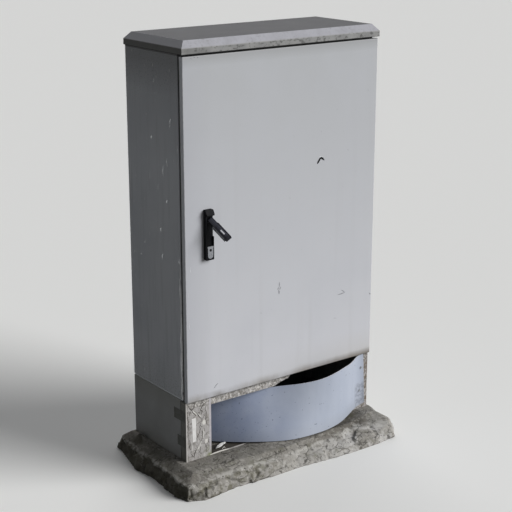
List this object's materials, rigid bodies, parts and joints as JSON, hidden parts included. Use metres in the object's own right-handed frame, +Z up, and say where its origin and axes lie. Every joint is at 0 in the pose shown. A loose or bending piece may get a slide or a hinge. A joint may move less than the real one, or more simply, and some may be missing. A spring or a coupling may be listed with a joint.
{
  "type": "street electrical box",
  "caption": "Free-standing sheet-steel street cabinet on a plinth and cast concrete pad, with a hinged door, swing handle, two-rod latch and distribution gear inside.",
  "frame": {"origin": "on the concrete pad's underside, below the middle of the closed door's outer face", "axes": "+X to the right as one faces the door, +Y from the door to the back, +Z up"},
  "size_m": [0.889, 0.509, 1.3785],
  "materials": {
    "concrete": "rough weathered concrete",
    "plinth_paint": "worn matte paint",
    "cover_paint": "satin paint",
    "cabinet_paint": "satin powder coat",
    "zinc": "zinc plated",
    "rubber": "black rubber",
    "pocket_plastic": "moulded plastic",
    "black_coat": "black coated die casting",
    "chrome": "dulled chrome",
    "breaker_grey": "moulded thermoset",
    "toggle_black": "moulded plastic",
    "copper": "bare copper",
    "brass": "bare brass",
    "insulator": "moulded insulator"
  },
  "bodies": {
    "cabinet": {"back_panel": "cabinet_paint", "bar_insulators": "insulator", "body_bolts": "zinc", "branch_breakers": "breaker_grey", "busbar_supports": "insulator", "busbars": "copper", "cable_clamp_rail": "zinc", "cable_grommets": "rubber", "concrete_base": "concrete", "din_rails": "zinc", "earth_bar": "brass", "floor_plate": "cabinet_paint", "front_frame": "cabinet_paint", "hinge_frame_leaves": "cabinet_paint", "hinge_pins": "zinc", "main_breaker": "breaker_grey", "mounting_plate": "zinc", "neutral_bar": "brass", "plate_standoffs": "zinc", "plinth_anchor_bolts": "zinc", "plinth_back": "plinth_paint", "plinth_clips": "plinth_paint", "plinth_cover_sheet": "cover_paint", "plinth_front_frame": "plinth_paint", "plinth_side_left": "plinth_paint", "plinth_side_right": "plinth_paint", "rod_keepers": "zinc", "roof_bolts": "zinc", "roof_cap": "cabinet_paint", "side_panel_left": "cabinet_paint", "side_panel_right": "cabinet_paint", "terminal_strip": "insulator", "top_plate": "cabinet_paint"},
    "door": {"door_skin": "cabinet_paint", "door_stiffeners": "cabinet_paint", "door_gasket": "rubber", "hinge_door_leaves": "cabinet_paint", "document_pocket": "pocket_plastic", "handle_base": "black_coat", "lock_face": "chrome", "handle_nuts": "zinc", "rod_guides": "zinc"},
    "handle_spindle": {"handle_spindle": "zinc", "crank_plate": "zinc", "crank_nut": "zinc", "crank_pins": "zinc"},
    "handle_lever": {"handle_lever": "black_coat", "lever_pin": "zinc"},
    "lock_plug": {"lock_plug": "chrome"},
    "upper_rod": {"upper_rod": "zinc"},
    "lower_rod": {"lower_rod": "zinc"},
    "main_toggle": {"main_toggle": "toggle_black"},
    "branch_toggle_1": {"branch_toggle_1": "toggle_black"},
    "branch_toggle_2": {"branch_toggle_2": "toggle_black"},
    "branch_toggle_3": {"branch_toggle_3": "toggle_black"},
    "branch_toggle_4": {"branch_toggle_4": "toggle_black"}
  },
  "joints": [
    {"name": "door_hinge", "type": "hinge", "parent": "cabinet", "child": "door", "pos_m": [0.364, 0.009, 0.802], "axis": [0, 0, 1], "range_deg": [0, 110]},
    {"name": "handle_turn", "type": "hinge", "parent": "door", "child": "handle_spindle", "pos_m": [-0.2924, 0, 0.8435], "axis": [0, -1, 0], "range_deg": [-28, 62]},
    {"name": "handle_lift", "type": "hinge", "parent": "handle_spindle", "child": "handle_lever", "pos_m": [-0.2924, -0.0143, 0.8435], "axis": [-0.8829, 0, -0.4695], "range_deg": [-42, 0]},
    {"name": "lock_turn", "type": "hinge", "parent": "door", "child": "lock_plug", "pos_m": [-0.2924, -0.01, 0.75], "axis": [0, -1, 0], "range_deg": [0, 90]},
    {"name": "upper_rod_pivot", "type": "hinge", "parent": "handle_spindle", "child": "upper_rod", "pos_m": [-0.31535, 0.0374, 0.85052], "axis": [0, -1, 0], "range_deg": [-62, 28]},
    {"name": "lower_rod_pivot", "type": "hinge", "parent": "handle_spindle", "child": "lower_rod", "pos_m": [-0.26945, 0.0374, 0.83648], "axis": [0, -1, 0], "range_deg": [-62, 28]},
    {"name": "main_toggle_throw", "type": "hinge", "parent": "cabinet", "child": "main_toggle", "pos_m": [0, 0.1985, 1.158], "axis": [1, 0, 0], "range_deg": [0, 40]},
    {"name": "branch_toggle_1_throw", "type": "hinge", "parent": "cabinet", "child": "branch_toggle_1", "pos_m": [-0.15, 0.2045, 0.868], "axis": [1, 0, 0], "range_deg": [0, 40]},
    {"name": "branch_toggle_2_throw", "type": "hinge", "parent": "cabinet", "child": "branch_toggle_2", "pos_m": [-0.05, 0.2045, 0.868], "axis": [1, 0, 0], "range_deg": [0, 40]},
    {"name": "branch_toggle_3_throw", "type": "hinge", "parent": "cabinet", "child": "branch_toggle_3", "pos_m": [0.05, 0.2045, 0.868], "axis": [1, 0, 0], "range_deg": [0, 40]},
    {"name": "branch_toggle_4_throw", "type": "hinge", "parent": "cabinet", "child": "branch_toggle_4", "pos_m": [0.15, 0.2045, 0.868], "axis": [1, 0, 0], "range_deg": [0, 40]}
  ],
  "couplings": [
    {"joint": "upper_rod_pivot", "follows": "handle_turn", "ratio": -1},
    {"joint": "lower_rod_pivot", "follows": "handle_turn", "ratio": -1}
  ]
}
